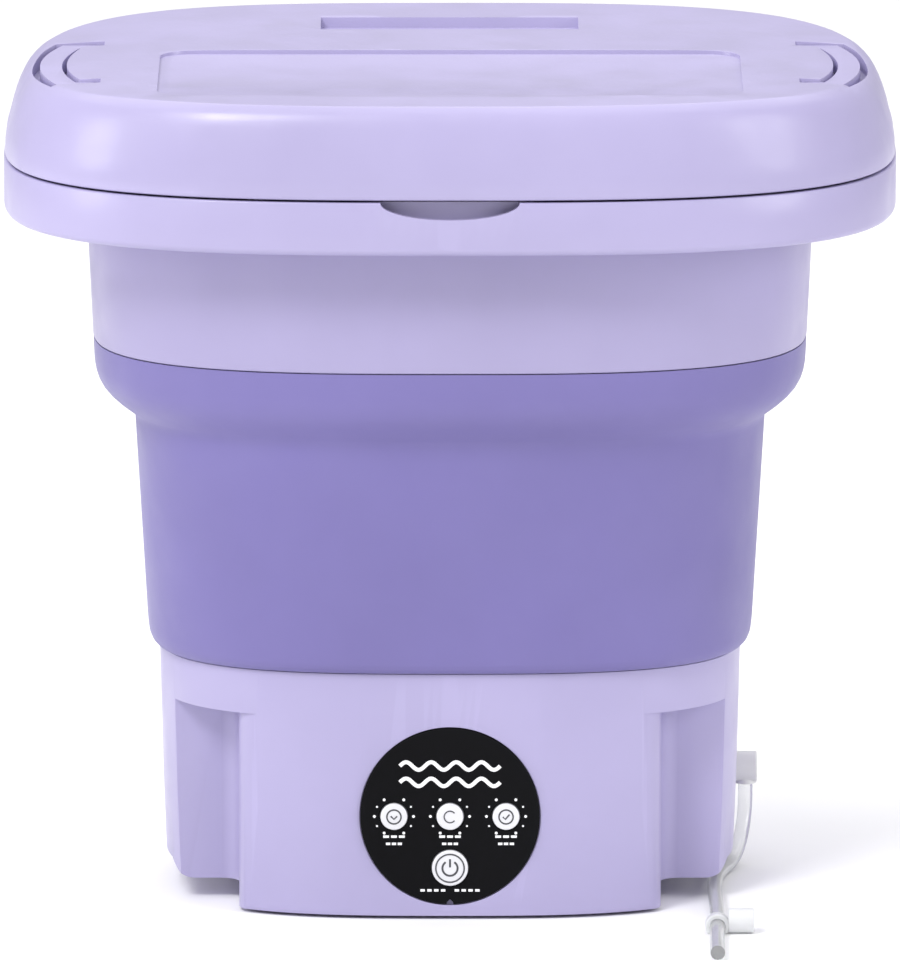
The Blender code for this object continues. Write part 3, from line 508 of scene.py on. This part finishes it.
# ---------------------------------------------------------------- folding tub
def folding_sleeve():
    skin = 0.0022
    profile = [  # outer half-width and level, from the upper ring down
        (0.1465, SLEEVE_TOP), (0.1464, 0.2250), (0.1461, 0.2195), (0.1456, 0.2165), (0.1447, 0.2137),
        (0.1431, 0.2107), (0.1408, 0.2079), (0.1380, 0.2053), (0.1350, 0.2029), (0.1322, 0.2008),
        (0.1307, 0.1994), (0.1299, 0.1979), (0.1295, 0.1960), (0.1282, 0.1740), (0.1263, 0.1420),
        (0.1246, 0.1130), (0.1243, 0.1095), (0.1239, 0.1067), (0.1230, 0.1045), (0.1216, 0.1030),
        (0.1200, 0.1023),
    ]
    outer = [ring(half, z) for half, z in profile]
    collar = [outline(BASE_HALF_X - i, BASE_HALF_Y - i, z) for i, z in (
        (0.0037, 0.1022), (0.0037, COLLAR_BOTTOM), (0.0056, COLLAR_BOTTOM), (0.0056, 0.1030))]
    inner = [ring(0.1215, 0.1065, skin), ring(0.1240, 0.1095, skin)]
    inner += [ring(half, z + 0.0004, skin) for half, z in profile[14:11:-1]]
    inner += [ring(half, z + 0.0016, 0.0016) for half, z in profile[10:4:-1]]
    inner += [ring(0.1458, 0.2180, skin), ring(0.1462, 0.2260, skin)]
    inner += [ring(0.1465, 0.2310, 0.0049), ring(0.1465, 0.2420, 0.0049)]
    inner += [ring(0.1465, 0.2420, 0.0027), ring(0.1465, SLEEVE_TOP, 0.0027)]
    body = lofted(outer + collar + inner, closed=True)
    sleeve = piece("soft_sleeve_wall", body, soft_sleeve, sharp=60)
    settle(sleeve, "base", "sleeve_tpe", "folding_sleeve")
    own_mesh(sleeve)


def tub_band():
    wall, round_edge = 0.0025, 0.0008
    rings = [
        ring(0.1467, BAND_BOTTOM, round_edge), ring(0.1467, BAND_BOTTOM + 0.0003, 0.0002),
        ring(0.1467, BAND_BOTTOM + round_edge), ring(0.1480, 0.2580), ring(0.1492, BAND_TOP),
        ring(0.1492, BAND_TOP, wall), ring(0.1467, BAND_BOTTOM, wall),
    ]
    # The band wears the darker lilac copy, painted shade for its place under the rim.
    band = piece("upper_band", lofted(rings, closed=True), lilac_shaded_band, sharp=50)
    settle(band, "upper_tub", "lilac_plastic", "tub_band")


def tub_rim():
    mouth, wall, edge = 0.1492, 0.0025, 0.0006
    floor, turn = RIM_BOTTOM + 0.0025, 0.0028
    rings = [
        ring(RIM_HALF_WIDTH, RIM_TOP, edge), ring(RIM_HALF_WIDTH, RIM_TOP - 0.0002, 0.0002),
        ring(RIM_HALF_WIDTH, RIM_TOP - edge),
    ]
    rings += [ring(RIM_HALF_WIDTH, z, inset)
              for inset, z in rounded_corner(RIM_BOTTOM + turn, RIM_BOTTOM, turn, 7)]
    rings += [
        ring(mouth, RIM_BOTTOM, 0.0027), ring(mouth, LIP_TOP, 0.0027), ring(mouth, LIP_TOP, 0.0002),
        ring(mouth, floor, 0.0002), ring(RIM_HALF_WIDTH, floor, 0.0038),
        ring(RIM_HALF_WIDTH, floor + 0.0013, wall), ring(RIM_HALF_WIDTH, RIM_TOP, wall),
    ]
    rim = piece("upper_rim", lofted(rings, closed=True), lilac, sharp=50)
    combine(rim, finger_scoop())
    combine(rim, scoop_back(floor), "UNION")
    rim.data.set_sharp_from_angle(angle=math.radians(50))
    settle(rim, "upper_tub", "lilac_plastic", "tub_rim")


def finger_scoop():
    angles = [math.radians(a) for a in range(180, 361, 6)]
    scoop = [(SCOOP_HALF * math.cos(a), RIM_TOP + SCOOP_DEPTH * math.sin(a)) for a in angles]
    scoop += [(SCOOP_HALF, RIM_TOP + 0.005), (-SCOOP_HALF, RIM_TOP + 0.005)]
    bm = bmesh.new()
    plate(bm, scoop, -0.16, -0.135)
    return bm


def scoop_back(floor):
    """A wall a little way behind the scoop, standing on the rim's floor."""
    low, high = floor - 0.0005, RIM_TOP - 0.0004
    half = SCOOP_BACK_HALF
    bm = bmesh.new()
    plate(bm, [(-half, low), (half, low), (half, high), (-half, high)], SCOOP_BACK, SCOOP_BACK + 0.0012)
    return bm


# ---------------------------------------------------------------- lid
def bail_plan(outer, inner, outside, inside, arms_in, steps=28):
    """Plan of a U: a bar between two arcs, and two arms that run in to arms_in."""
    def edge(radius, half):
        top = math.asin(half / radius)
        angles = [-top + 2 * top * i / steps for i in range(steps + 1)]
        return [(HANDLE_ARC_CENTRE + radius * math.cos(a), radius * math.sin(a)) for a in angles]

    points = [(arms_in, -outside), *edge(outer, outside), (arms_in, outside), (arms_in, inside)]
    points += reversed(edge(inner, inside))
    points.append((arms_in, -inside))
    return points


def pad_plan(reach_out, reach_in, half, steps=28):
    top = math.asin(half / reach_out)
    angles = [-top + 2 * top * i / steps for i in range(steps + 1)]
    arc_points = [(HANDLE_ARC_CENTRE + reach_out * math.cos(a), reach_out * math.sin(a)) for a in angles]
    return [(reach_in, -half), *arc_points, (reach_in, half)]


def lid_ring(half_width, z, inset=0.0):
    """An outline of the lid, a little deeper at the top, with the crown's fall worked in."""
    rise = (z - LID_BOTTOM) / (LID_TOP - LID_BOTTOM)
    ratio = DEPTH_RATIO + LID_DEPTH_GAIN * rise
    points = outline(half_width - inset, ratio * half_width - inset, z)
    share = min(1.0, max(0.0, 2.5 * rise - 1.5))
    for point in points:
        point.z -= share * CROWN * (abs(point.x) / CROWN_REACH) ** CROWN_POWER
    return points


def lid_rings():
    """The lid's skin, from the underside of its roof round the rim edge and up over the shoulder."""
    roof = LID_TOP - 0.0030
    plateau = [0.0200 + 0.0100 * i for i in range(14)]
    rings = [lid_ring(half, roof) for half in plateau]
    rings.append(lid_ring(LID_SHOULDER, roof, 0.0030))
    rings += [lid_ring(half, z - 0.0022, 0.0028) for half, z in LID_SIDE[9:0:-2]]
    rings.append(lid_ring(LID_HALF_WIDTH, LID_BOTTOM, 0.0025))
    rings.append(lid_ring(LID_HALF_WIDTH - 0.0006, LID_BOTTOM))
    rings.append(lid_ring(LID_HALF_WIDTH - 0.0001, LID_BOTTOM + 0.0005))
    rings += [lid_ring(half, z) for half, z in LID_SIDE]
    rings.append(lid_ring(LID_SHOULDER, LID_TOP))
    rings.append(lid_ring(LID_SHOULDER - 0.0014, LID_TOP))
    rings += [lid_ring(half, LID_TOP) for half in reversed(plateau)]
    return rings


def lid_inset():
    plan = []
    for x, y, start in ((1, 1, 0), (-1, 1, 90), (-1, -1, 180), (1, -1, 270)):
        corner = (x * (INSET_HALF_X - INSET_CORNER), INSET_MIDDLE_Y + y * (INSET_HALF_Y - INSET_CORNER))
        plan += arc(corner, INSET_CORNER, start, start + 90, 14)
    bm = bmesh.new()
    prism(bm, plan, LID_TOP - INSET_DEPTH, 0.36)
    return bm


def on_pivot(side, y):
    """The point of a handle's axis at that distance from the handle's middle."""
    return Vector((side * HANDLE_PIVOT_X, HANDLE_MIDDLE_Y + y, HANDLE_PIVOT_Z))


def handle_pads(inset=0.0010):
    """Pads under the handles, trimmed a little inside the lid's own form."""
    plan = pad_plan(HANDLE_OUTER + 0.0048, 0.1380, 0.0600)
    pads = bmesh.new()
    for side in (-1, 1):
        prism(pads, [(side * x, y + HANDLE_MIDDLE_Y) for x, y in plan], 0.3288, 0.36)
    core = [lid_ring(LID_HALF_WIDTH, LID_BOTTOM + inset, inset)]
    core += [lid_ring(half, z - inset, inset) for half, z in LID_SIDE]
    core.append(lid_ring(LID_SHOULDER, LID_TOP - inset, inset))
    core += [lid_ring(0.1500 - 0.0100 * i, LID_TOP - inset) for i in range(14)]
    trimmed = piece("pad_tool", pads, None)
    combine(trimmed, lofted(core), "INTERSECT")
    bm = bmesh.new()
    bm.from_mesh(trimmed.data)
    bpy.data.objects.remove(trimmed)
    return bm


def handle_seats():
    """The pockets round the handles and the holes for their pins."""
    pockets, holes = bmesh.new(), bmesh.new()
    pocket = bail_plan(HANDLE_OUTER + 0.0032, HANDLE_OUTER - HANDLE_BAR - HANDLE_GAP_IN,
                       HANDLE_HALF_LENGTH + 0.0012, HANDLE_HALF_LENGTH - HANDLE_ARM - 0.0008,
                       HANDLE_PIVOT_X - 0.0036)
    for side in (-1, 1):
        prism(pockets, [(side * x, y + HANDLE_MIDDLE_Y) for x, y in pocket],
              HANDLE_PIVOT_Z - HANDLE_THICK / 2 - 0.0005, 0.37)
        for start, end in ((-0.0572, -0.0390), (0.0390, 0.0572)):
            rod(holes, on_pivot(side, start), on_pivot(side, end), PIN_HOLE, 20)
    return pockets, holes


def lid_shell():
    shell = piece("lid_cap", lofted(lid_rings()), lilac)
    pockets, holes = handle_seats()
    slot_pad, slot = bmesh.new(), bmesh.new()
    box(slot_pad, (-0.0570, 0.0620, 0.3370), (0.0570, 0.1000, 0.3405))
    box(slot, (-0.0536, 0.0650, 0.3390), (0.0532, 0.0965, 0.36))
    for body, operation in ((handle_pads(), "UNION"), (slot_pad, "UNION"), (pockets, "DIFFERENCE"),
                            (slot, "DIFFERENCE"), (lid_inset(), "DIFFERENCE")):
        combine(shell, body, operation)
    soften(shell, 0.0005, 2)
    combine(shell, holes)
    shell.data.set_sharp_from_angle(angle=math.radians(42))
    settle(shell, "lid", "lilac_plastic", "lid_shell")


def handles():
    inside = HANDLE_HALF_LENGTH - HANDLE_ARM
    low = HANDLE_PIVOT_Z - HANDLE_THICK / 2
    for side, name in ((-1, "left"), (1, "right")):
        plan = bail_plan(HANDLE_OUTER, HANDLE_OUTER - HANDLE_BAR, HANDLE_HALF_LENGTH, inside,
                         HANDLE_PIVOT_X)
        bm = bmesh.new()
        prism(bm, [(side * x, y + HANDLE_MIDDLE_Y) for x, y in plan], low, low + HANDLE_THICK)
        grip = piece(f"{name}_grip_bar", bm, lilac_grip)
        eyes, bores = bmesh.new(), bmesh.new()
        for s in (-1, 1):
            end = on_pivot(side, s * HANDLE_HALF_LENGTH)
            rod(eyes, on_pivot(side, s * inside), end, HANDLE_THICK / 2, 40)
            rod(bores, on_pivot(side, s * 0.03), on_pivot(side, s * 0.06), PIN_HOLE, 20)
        combine(grip, eyes, "UNION")
        soften(grip, 0.0009, 3)
        combine(grip, bores)
        settle(grip, f"{name}_grip", "handle_plastic", f"{name}_handle")


# ---------------------------------------------------------------- control panel
def panel_disc():
    edge = 0.0006
    rings = [facing(PANEL_RADIUS, PANEL_BACK, (0, PANEL_Z), 160)]
    rings += [facing(PANEL_RADIUS - inset, y, (0, PANEL_Z), 160)
              for inset, y in rounded_corner(PANEL_FRONT + edge, PANEL_FRONT, edge, 4)]
    disc = piece("panel_face", lofted(rings), panel_black)
    combine(disc, button_holes(BUTTON_HOLE_BACK))
    bottom = PANEL_Z - PANEL_RADIUS
    key = [(-0.0013, bottom - 0.001), (0.0013, bottom - 0.001), (0.0013, bottom + 0.001),
           (0, bottom + 0.0022), (-0.0013, bottom + 0.001)]
    bm = bmesh.new()
    plate(bm, key, -0.10, -0.08)
    combine(disc, bm)
    disc.data.set_sharp_from_angle(angle=math.radians(30))
    settle(disc, "base", "black_plastic", "panel_disc")


def buttons():
    edge, lip, step = 0.0006, 0.0014, BUTTON_FLANGE + 0.001
    for name, (x, z, radius, body) in BUTTONS.items():
        rings = [facing(radius - inset, y, (x, z))
                 for inset, y in reversed(rounded_corner(BUTTON_FRONT + edge, BUTTON_FRONT, edge, 5))]
        rings += [facing(r, y, (x, z)) for r, y in (
            (radius, BUTTON_FLANGE), (radius + lip, BUTTON_FLANGE), (radius + lip, step),
            (0.002, step), (0.002, -0.0883))]
        settle(piece(name + "_cap", lofted(rings), button_plastic), body, "button_plastic", name)


def stroke(bm, points, width, front, back, joined=False):
    """A line of even width through (x, z) points."""
    left, right = [], []
    count = len(points)
    for i, (x, z) in enumerate(points):
        before = points[i - 1] if i or joined else points[i]
        after = points[(i + 1) % count] if i < count - 1 or joined else points[i]
        along = Vector((after[0] - before[0], after[1] - before[1])).normalized()
        across = Vector((-along.y, along.x)) * width / 2
        left.append((x + across.x, z + across.y))
        right.append((x - across.x, z - across.y))
    rows = []
    for (lx, lz), (rx, rz) in zip(left, right):
        rows.append([Vector((lx, front, lz)), Vector((rx, front, rz)), Vector((rx, back, rz)),
                     Vector((lx, back, lz))])
    loft(bm, rows, closed=joined)


def wave(half_length, height, turns, level, steps=72):
    points = []
    for i in range(steps + 1):
        t = i / steps
        z = level + height * math.sin(2 * math.pi * turns * t)
        points.append((half_length * (2 * t - 1), z))
    return points


def bar(bm, x, z, half_x, half_z, front, back):
    """A printed bar about the point (x, z)."""
    corners = [(x - half_x, z - half_z), (x + half_x, z - half_z), (x + half_x, z + half_z),
               (x - half_x, z + half_z)]
    plate(bm, corners, front, back)


def button_surround(bm, name, front, back):
    """Dots round a button and two rows of short bars below it."""
    x, z, _, _ = BUTTONS[name]
    for k in range(12):
        angle = math.radians(30 * k)
        if abs(math.sin(angle)) > 0.95:
            continue
        spot = (x + 0.0080 * math.cos(angle), z + 0.0080 * math.sin(angle))
        plate(bm, arc(spot, 0.00042 if k % 2 else 0.00060, 0, 330, 11), front, back)
    for level, half in ((0.0346, 0.0046), (0.0316, 0.0034)):
        for k in (-1, 0, 1):
            bar(bm, x + k * half * 0.70, level, half * 0.26, 0.0005, front, back)


def printed_marks():
    """Waves where a heading would be, dots and bars at the buttons and bars at the foot. No lettering."""
    front, back = PANEL_FRONT - PRINT_DEPTH, PANEL_FRONT + PRINT_SINK
    bm = bmesh.new()
    for level in (0.0640, 0.0572):
        stroke(bm, wave(0.0205, 0.0016, 4, level), 0.0016, front, back)
    for name in ("mode_button_left", "mode_button_centre", "mode_button_right"):
        button_surround(bm, name, front, back)
    for k in (-4, -3, -2, -1, 1, 2, 3, 4):
        bar(bm, k * 0.0028, 0.0122, 0.0009, 0.0005, front, back)
    settle(piece("panel_marks", bm, print_white), "base", "button_plastic")


def button_icons():
    """A plain symbol on each button: a ringed chevron, an open ring, a ringed tick, a power sign."""
    front, back = BUTTON_FRONT - PRINT_DEPTH, BUTTON_FRONT + PRINT_SINK

    def icon(name, draw):
        x, z, _, body = BUTTONS[name]
        bm = bmesh.new()
        draw(bm, x, z)
        settle(piece(name + "_mark", bm, print_dark), body, "black_plastic")

    def loop(bm, x, z, radius, width):
        stroke(bm, arc((x, z), radius, 0, 351, 39), width, front, back, joined=True)

    def left(bm, x, z):
        loop(bm, x, z, 0.0029, 0.0006)
        chevron = [(x - 0.0013, z + 0.0003), (x, z - 0.0010), (x + 0.0013, z + 0.0003)]
        stroke(bm, chevron, 0.0006, front, back)

    def centre(bm, x, z):
        stroke(bm, arc((x, z), 0.0024, 40, 320, 30), 0.0005, front, back)

    def right(bm, x, z):
        loop(bm, x, z, 0.0029, 0.0006)
        tick = [(x - 0.0013, z), (x - 0.0003, z - 0.0010), (x + 0.0014, z + 0.0010)]
        stroke(bm, tick, 0.0006, front, back)

    def power(bm, x, z):
        loop(bm, x, z, 0.0058, 0.0006)
        stroke(bm, arc((x, z), 0.0031, 125, 415, 30), 0.0008, front, back)
        stroke(bm, [(x, z + 0.0004), (x, z + 0.0038)], 0.0008, front, back)

    icon("mode_button_left", left)
    icon("mode_button_centre", centre)
    icon("mode_button_right", right)
    icon("power_button", power)


# ---------------------------------------------------------------- drive and drain
def impeller():
    """The wash impeller, turned round and finned, with softened edges."""
    section = [(0.0570, 0.0680), (0.0594, 0.0688), (0.0600, 0.0700), (0.0596, 0.0714), (0.0585, 0.0722),
               (0.0500, 0.0736), (0.0420, 0.0752), (0.0320, 0.0770), (0.0200, 0.0795), (0.0165, 0.0820),
               (0.0140, 0.0850), (0.0128, 0.0859), (0.0080, 0.0862)]
    rings = [circle(r, z, segments=112) for r, z in section]
    disc = piece("wash_impeller", lofted(rings), impeller_plastic)
    fins = bmesh.new()
    for i in range(4):
        turn = Matrix.Rotation(math.pi / 4 + math.pi / 2 * i, 3, "Z")
        root, tip, half, crest = 0.012, 0.054, 0.0035, 0.002
        foot = [(root, -half), (tip, -half), (tip, half), (root, half)]
        top = [(root, -crest, 0.0850), (tip, -crest, 0.0795), (tip, crest, 0.0795),
               (root, crest, 0.0850)]
        loft(fins, [[turn @ Vector((x, y, 0.0700)) for x, y in foot], [turn @ Vector(p) for p in top]])
    combine(disc, fins, "UNION")
    soften(disc, 0.0007, 2, angle=30)
    for low, high, radius in ((0.06, 0.0800, 0.0043), (0.07, 0.09, 0.0022), (0.0835, 0.09, 0.0046)):
        bore = bmesh.new()
        rod(bore, (0, 0, low), (0, 0, high), radius)
        combine(disc, bore)
    disc.data.set_sharp_from_angle(angle=math.radians(40))
    settle(disc, "impeller", "pulsator_plastic", "pulsator")


def drain_outlet():
    low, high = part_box("drain_outlet")
    y, z, tip = (low.y + high.y) / 2, high.z - OUTLET_DROP, high.x
    radius, edge, collar = 0.0064, 0.0007, 0.0088
    section = [(low.x, radius), (0.1095, radius), (0.1095, collar), (0.1115, collar), (0.1115, radius)]
    section += [(x, radius - inset) for inset, x in rounded_corner(tip - edge, tip, edge, 5)]
    rings = [[Vector((x, y + p.x, z + p.y)) for p in circle(r, 0.0)] for x, r in section]
    outlet = piece("outlet_elbow", lofted(rings), grey_plastic)
    drop_x = HOSE_ROUTE[0][0]
    boss, bore, drop = bmesh.new(), bmesh.new(), bmesh.new()
    rod(boss, (drop_x, y, z), (drop_x, y, 0.0330), 0.0044)
    rod(bore, (0.10, y, z), (0.1240, y, z), 0.0030)
    rod(drop, (drop_x, y, z), (drop_x, y, 0.02), 0.0022)
    for body, operation in ((boss, "UNION"), (bore, "DIFFERENCE"), (drop, "DIFFERENCE")):
        combine(outlet, body, operation)
    outlet.data.set_sharp_from_angle(angle=math.radians(40))
    settle(outlet, "base", "grey_plastic", "drain_outlet")


def hose_stopper():
    """A plug on a snap ring round the hose."""
    low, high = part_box("hose_stopper")
    y = (low.y + high.y) / 2
    x, z, hold, outside = 0.1090, 0.0033, HOSE_RADIUS + 0.0003, 0.0050
    section = [(outside - 0.0005, -0.0030), (outside, -0.0025), (outside, 0.0025),
               (outside - 0.0005, 0.0030), (hold, 0.0030), (hold, -0.0030)]
    rings = [facing(r, y + dy, (x, z), 56) for r, dy in section]
    stopper = piece("outlet_stopper", lofted(rings, closed=True), stopper_plastic)
    plug, centre_z = 0.0050, 0.0053
    profile = [(0.1135, plug)]
    profile += [(end, plug - inset) for inset, end in rounded_corner(0.1232, 0.1240, 0.0008, 4)]
    body = lofted([[Vector((px, y + p.x, centre_z + p.y)) for p in circle(r, 0.0, segments=56)]
                   for px, r in profile])
    combine(stopper, body, "UNION")
    floor = bmesh.new()
    box(floor, (0.1, y - 0.01, -0.01), (0.1134, y + 0.01, 0.0004))
    combine(stopper, floor)
    stopper.data.set_sharp_from_angle(angle=math.radians(40))
    return settle(stopper, "base", "hose_vinyl", "hose_stopper")


def drain_hose(stopper):
    route = smooth_route(HOSE_ROUTE, 4)
    curve = bpy.data.curves.new("drain_tube", "CURVE")
    curve.dimensions = "3D"
    curve.bevel_depth = HOSE_RADIUS
    curve.bevel_resolution = 6
    curve.use_fill_caps = True
    spline = curve.splines.new("POLY")
    spline.points.add(len(route) - 1)
    for point, place in zip(spline.points, route):
        point.co = (*place, 1.0)
    spline.use_smooth = True
    curve.materials.append(hose_vinyl)
    hose = bpy.data.objects.new("drain_tube", curve)
    bpy.context.scene.collection.objects.link(hose)
    settle(hose, "base", "hose_vinyl", "drain_hose")


def finish_cad_nodes():
    """The nodes that keep their own mesh get the procedural finishes."""
    finishes = {
        cover_plastic: ["bottom_cover"],
        pan_plastic: ["tub_pan"],
        liner_plastic: ["lid_inner_cover"],
        rubber: [f"rubber_foot_{i}" for i in range(1, 5)] + ["shaft_seal", "lid_seal"],
        steel: [f"cover_screw_{i}" for i in range(1, 5)]
        + [f"{side}_handle_pin_{end}" for side in ("left", "right") for end in ("front", "rear")]
        + ["drive_motor", "motor_bracket", "motor_screw_left", "motor_screw_right", "shaft_bearing",
           "drive_shaft", "pulsator_screw"],
        panel_black: ["power_inlet"],
        board_green: ["control_board"],
        wire_jacket: ["motor_lead", "power_lead"],
        grey_plastic: ["drain_pipe", "drain_strainer"],
    }
    for finish, names in finishes.items():
        for name in names:
            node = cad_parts[name]
            if not node.material_slots:
                node.data.materials.append(finish)
            for material_slot in node.material_slots:
                material_slot.material = finish


# ---------------------------------------------------------------- studio
CAMERA_DISTANCE = 8.0
CAMERA_ELEVATION = 10.3
AIM = Vector((0.0, 0.0, 0.1655))
VIEW_HEIGHT = 0.3957  # how much of the scene the picture's height shows at the aim point
SENSOR = 36.0


def camera():
    lens = bpy.data.cameras.new("camera")
    lens.sensor_width = SENSOR
    lens.lens = SENSOR * CAMERA_DISTANCE / VIEW_HEIGHT
    lens.clip_end = 100.0
    eye = bpy.data.objects.new("camera", lens)
    bpy.context.scene.collection.objects.link(eye)
    tilt = math.radians(CAMERA_ELEVATION)
    back = Vector((0.0, -math.cos(tilt), math.sin(tilt)))
    eye.location = AIM + CAMERA_DISTANCE * back
    eye.rotation_euler = (-back).to_track_quat("-Z", "Y").to_euler()
    bpy.context.scene.camera = eye


def area_light(name, place, size, power):
    lamp = bpy.data.lights.new(name, "AREA")
    lamp.shape = "DISK"
    lamp.size = size
    lamp.energy = power
    obj = bpy.data.objects.new(name, lamp)
    bpy.context.scene.collection.objects.link(obj)
    obj.location = place
    obj.rotation_euler = (AIM - Vector(place)).to_track_quat("-Z", "Y").to_euler()


def studio():
    bm = bmesh.new()
    bmesh.ops.create_grid(bm, x_segments=1, y_segments=1, size=30.0)
    floor_finish = surface("floor_pale", (0.93, 0.93, 0.93), 0.85, grain=60.0, mottle=0.01, wear=0.0)
    floor = piece("floor", bm, floor_finish)
    world = bpy.data.worlds.new("studio_world")
    world.use_nodes = True
    background = world.node_tree.nodes["Background"]
    background.inputs["Color"].default_value = (1.0, 1.0, 1.0, 1.0)
    background.inputs["Strength"].default_value = 0.50
    bpy.context.scene.world = world
    area_light("overhead", (0.0, 0.9, 3.0), 5.0, 84.0)
    area_light("key", (-1.3, -2.0, 2.5), 1.3, 62.0)
    area_light("side", (-2.4, -0.5, 0.9), 1.0, 16.0)
    area_light("fill", (2.2, -1.2, 1.2), 1.4, 25.0)
    bpy.context.scene.view_settings.view_transform = "Standard"


def main():
    finish_cad_nodes()
    base_housing()
    folding_sleeve()
    tub_band()
    tub_rim()
    lid_shell()
    handles()
    panel_disc()
    buttons()
    printed_marks()
    button_icons()
    impeller()
    drain_outlet()
    drain_hose(hose_stopper())
    camera()
    studio()


main()
